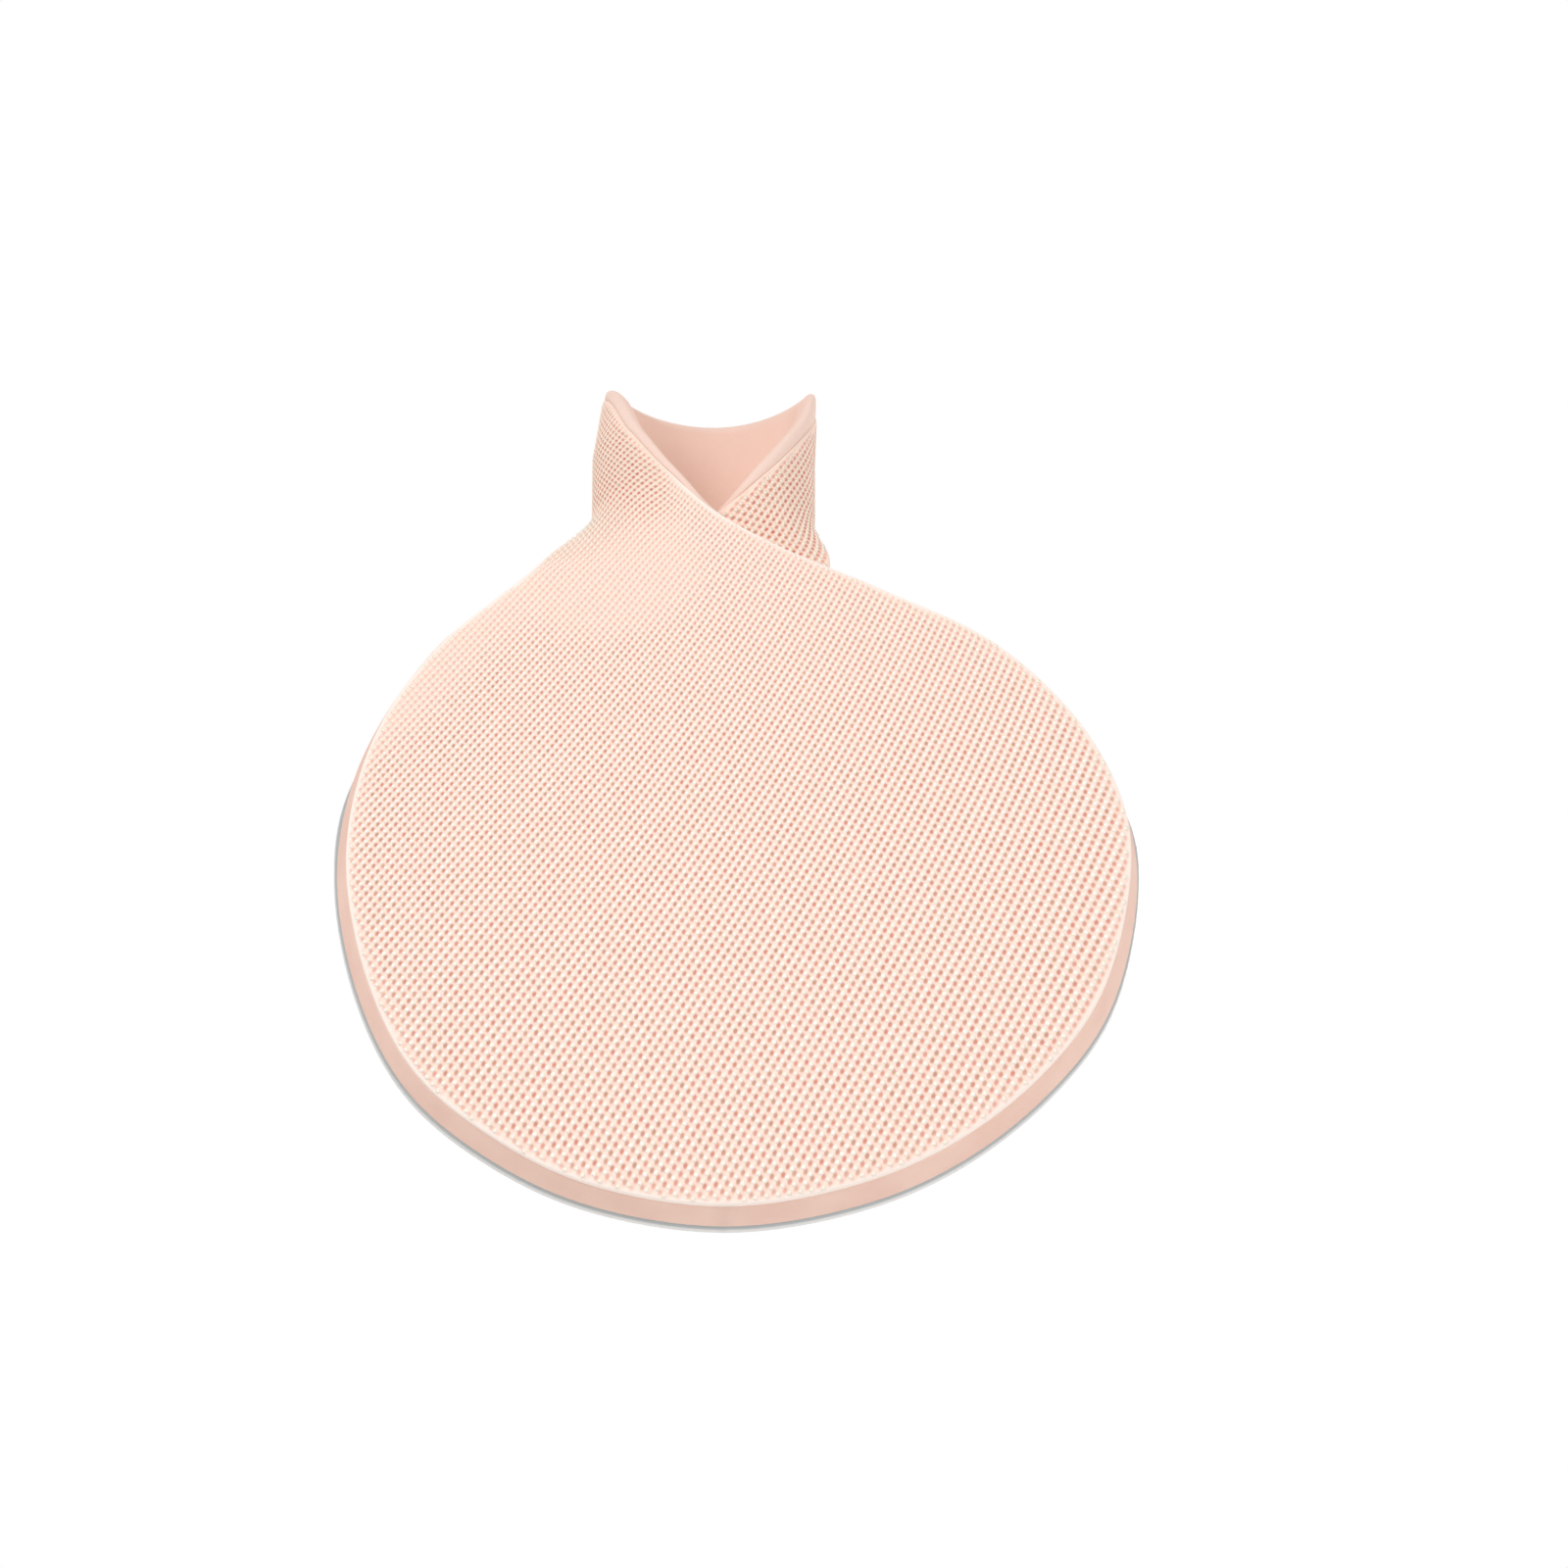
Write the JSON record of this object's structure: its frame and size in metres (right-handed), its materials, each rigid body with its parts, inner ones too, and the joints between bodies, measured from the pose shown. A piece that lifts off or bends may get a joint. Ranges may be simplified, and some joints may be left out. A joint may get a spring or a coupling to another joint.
{
  "type": "ball-of-foot cushion with toe loop",
  "caption": "Soft oval forefoot pad with a mesh knit face over foam and gel, whose upper end runs on as a strap that loops round a toe and is tucked behind the pad.",
  "frame": {"origin": "middle of the open toe loop, on the loop's axis at half of its clear width and depth", "axes": "+Z along the loop's axis, out of it and away from the pad; the knit face looks along -Y; +X across the pad to the right, seen from the knit face"},
  "size_m": [0.0727, 0.0279, 0.0846],
  "materials": {
    "knit": "matt mesh knit, cream stitches on a peach ground",
    "foam": "matt fine-celled soft foam",
    "gel": "smooth translucent soft gel"
  },
  "bodies": {
    "root": {"knit_cover": "knit", "foam_backing": "foam", "gel_layer": "gel"}
  },
  "joints": []
}
